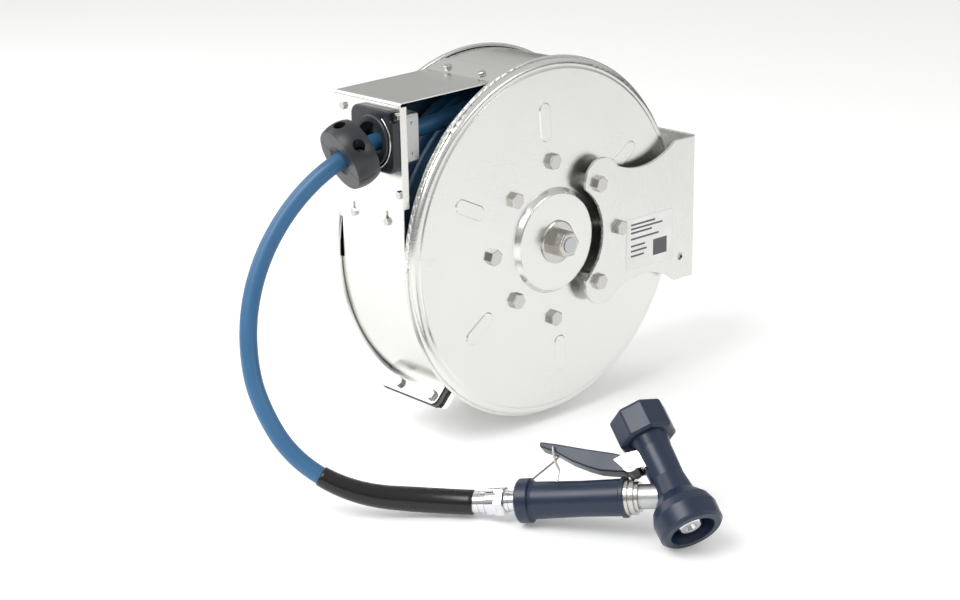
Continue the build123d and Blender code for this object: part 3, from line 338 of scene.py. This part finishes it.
SLOT_MATERIALS = {
    "polished_stainless": sheet_steel("polished_stainless", (0.74, 0.74, 0.715), 0.22, (1, 1, 14), 0.0008),
    "bracket_stainless": sheet_steel("bracket_stainless", (0.72, 0.72, 0.70), 0.27, (1, 20, 1), 0.0010),
    "bolt_steel": turned_metal("bolt_steel", (0.56, 0.55, 0.52), 0.22),
    "plain_steel": turned_metal("plain_steel", (0.52, 0.53, 0.54), 0.36),
    "spring_steel": turned_metal("spring_steel", (0.34, 0.35, 0.38), 0.34),
    "chrome": turned_metal("chrome", (0.72, 0.73, 0.75), 0.10),
    "bronze": turned_metal("bronze", (0.62, 0.44, 0.22), 0.34),
    "charcoal_plastic": moulded("charcoal_plastic", (0.017, 0.020, 0.025), 0.36, 0.10),
    "white_roller": moulded("white_roller", (0.74, 0.74, 0.72), 0.45, 0.05),
    "black_rubber": moulded("black_rubber", (0.004, 0.004, 0.0045), 0.24, 0.06),
    "navy_rubber": moulded("navy_rubber", (0.009, 0.019, 0.046), 0.33, 0.09),
    "blue_hose": moulded("blue_hose", (0.030, 0.118, 0.245), 0.36, 0.05),
    "label_film": moulded("label_film", (0.82, 0.82, 0.80), 0.30, 0.01),
}


def dress_nodes():
    """Gives every CAD node its slot's material, and smooth shading that keeps its folds sharp."""
    for part in frame["record"]["subparts"]:
        node = frame["nodes"][part["node"]]
        material = SLOT_MATERIALS[part["material_slot"]]
        node.data.materials.clear()
        node.data.materials.append(material)
        for polygon in node.data.polygons:
            polygon.use_smooth = True
        split = node.modifiers.new("sharp folds", "EDGE_SPLIT")
        split.split_angle = SHARP_FOLD


# ------------------------------------------------------------------ camera
def add_camera():
    """The view of the whole reel and its gun, from the spindle nut's side."""
    data = bpy.data.cameras.new("camera")
    data.lens = LENS
    data.sensor_width = 36
    camera = link(bpy.data.objects.new("camera", data))
    turn = Matrix((CAMERA_RIGHT, CAMERA_UP, CAMERA_BACK)).transposed()
    camera.matrix_world = Matrix.Translation(CAMERA_PLACE) @ turn.normalized().to_4x4()
    bpy.context.scene.camera = camera


def add_hose():
    """The blue hose from the guide to the ferrule, with the black sleeve at the gun."""
    hose = curve_object("blue_hose_line", HOSE_ROUTE, HOSE_DIAMETER / 2)
    hose.data.materials.append(SLOT_MATERIALS["blue_hose"])
    points = line_points(hose)
    covered = last_stretch(points, SLEEVE_LENGTH)
    radii = []
    for index in range(len(covered)):
        share = index / (len(covered) - 1)
        grown = min(1, SLEEVE_SWELL * share)
        radii.append(SLEEVE_RADII[0] + (SLEEVE_RADII[1] - SLEEVE_RADII[0]) * grown)
    sleeve = lofted_tube("bend_sleeve", covered, radii)
    sleeve.data.materials.append(SLOT_MATERIALS["black_rubber"])
    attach(hose, "frame")
    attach(sleeve, "frame")
    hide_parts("hose")
    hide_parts("hose_sleeve")


def layer_points(radius, first_x, last_x):
    """A helix of hose on the spool between two places along the spindle, ending at its top."""
    turns = abs(last_x - first_x) / TURN_PITCH
    count = int(turns * STEPS_PER_TURN)
    points = []
    for index in range(count + 1):
        share = index / count
        angle = LEAVING_ANGLE + 2 * math.pi * turns * (share - 1)
        x = first_x + (last_x - first_x) * share
        points.append(Vector((x, SPINDLE_Y + radius * math.cos(angle), radius * math.sin(angle))))
    return points


def add_wound_hose():
    """The layers of hose on the spool, side by side."""
    for index, radius in enumerate(LAYER_RADII):
        direction = 1 if index % 2 == 0 else -1
        first = -WOUND_HALF_WIDTH * direction
        outermost = radius == max(LAYER_RADII)
        last = LEAVING_X if outermost else WOUND_HALF_WIDTH * direction
        points = layer_points(radius, first, last)
        radii = [HOSE_DIAMETER / 2] * len(points)
        layer = lofted_tube(f"hose_layer_{index + 1}", points, radii, LAYER_SIDES)
        layer.data.materials.append(SLOT_MATERIALS["blue_hose"])
        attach(layer, "spool")
        if index == 0:
            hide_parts("wound_hose")


# ------------------------------------------------------------------ label marks
def ink_mark(name, ink, start_y, end_y, bottom, top):
    """A thin printed mark on the label, between shares of the label's width and height."""
    low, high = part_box("label")
    width = high.y - low.y
    mark = box_object(
        name,
        (high.x, low.y + start_y * width, bottom),
        (high.x + INK_THICKNESS, low.y + end_y * width, top),
    )
    mark.data.materials.append(ink)
    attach(mark, "frame")


def add_label_marks():
    """Plain rules and a block on the label, with no lettering."""
    low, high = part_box("label")
    height = high.z - low.z
    ink = new_material("label_ink", (0.10, 0.10, 0.11), 0.0, 0.5)[0]
    for index, (start, end, level) in enumerate(LABEL_RULES):
        z = low.z + level * height
        ink_mark(f"label_rule_{index + 1}", ink, start, end, z - RULE_HALF_HEIGHT, z + RULE_HALF_HEIGHT)
    start, bottom, end, top = LABEL_BLOCK
    ink_mark("label_block", ink, start, end, low.z + bottom * height, low.z + top * height)


# ------------------------------------------------------------------ studio
def add_area_light(name, place, target, size, energy):
    """A soft square light that points at a target."""
    data = bpy.data.lights.new(name, "AREA")
    data.size = size
    data.energy = energy
    light = link(bpy.data.objects.new(name, data))
    light.location = place
    light.rotation_mode = "QUATERNION"
    light.rotation_quaternion = (Vector(target) - Vector(place)).to_track_quat("-Z", "Y")


def add_room():
    """A white backdrop for the camera, and a grey room with a bright ceiling for everything else."""
    world = bpy.data.worlds.new("soft_room")
    world.use_nodes = True
    nodes = world.node_tree.nodes
    links = world.node_tree.links
    backdrop = nodes["Background"]
    backdrop.inputs["Color"].default_value = (1, 1, 1, 1)
    backdrop.inputs["Strength"].default_value = 1.0
    room = nodes.new("ShaderNodeBackground")
    room.inputs["Strength"].default_value = ROOM_STRENGTH
    direction = nodes.new("ShaderNodeTexCoord")
    split = nodes.new("ShaderNodeSeparateXYZ")
    ramp = nodes.new("ShaderNodeValToRGB")
    height = nodes.new("ShaderNodeMapRange")
    height.inputs["From Min"].default_value = -1
    links.new(direction.outputs["Generated"], split.inputs["Vector"])
    links.new(split.outputs["Z"], height.inputs["Value"])
    links.new(height.outputs["Result"], ramp.inputs["Fac"])
    for place, grey in ROOM_GREYS:
        stop = ramp.color_ramp.elements.new(place)
        stop.color = (grey, grey, grey * 0.985, 1)
    links.new(ramp.outputs["Color"], room.inputs["Color"])
    rays = nodes.new("ShaderNodeLightPath")
    choose = nodes.new("ShaderNodeMixShader")
    links.new(rays.outputs["Is Camera Ray"], choose.inputs["Fac"])
    links.new(room.outputs["Background"], choose.inputs[1])
    links.new(backdrop.outputs["Background"], choose.inputs[2])
    links.new(choose.outputs["Shader"], nodes["World Output"].inputs["Surface"])
    bpy.context.scene.world = world


def add_studio():
    """A pale floor, the room and three large lights."""
    floor = box_object(
        "floor",
        (-FLOOR_REACH, -FLOOR_REACH, FLOOR_Z - FLOOR_THICKNESS),
        (FLOOR_REACH, FLOOR_REACH, FLOOR_Z),
    )
    material, _, _, shader = new_material("floor_paper", (0.93, 0.93, 0.93), 0.0, 0.9)
    shader.inputs["Emission Color"].default_value = (1, 1, 1, 1)
    shader.inputs["Emission Strength"].default_value = 0.16
    floor.data.materials.append(material)
    add_room()
    add_area_light("key", (0.2, -2.4, 2.4), (0, -0.3, 0), 1.8, 62)
    add_area_light("side", (3.0, 0.9, 1.6), (0, -0.2, 0), 1.2, 14)
    add_area_light("fill", (-2.2, -1.6, 1.4), (0, -0.3, 0), 2.0, 26)


add_camera()
add_hose()
add_wound_hose()
dress_nodes()
add_label_marks()
add_studio()
bpy.context.scene.view_settings.view_transform = "Standard"
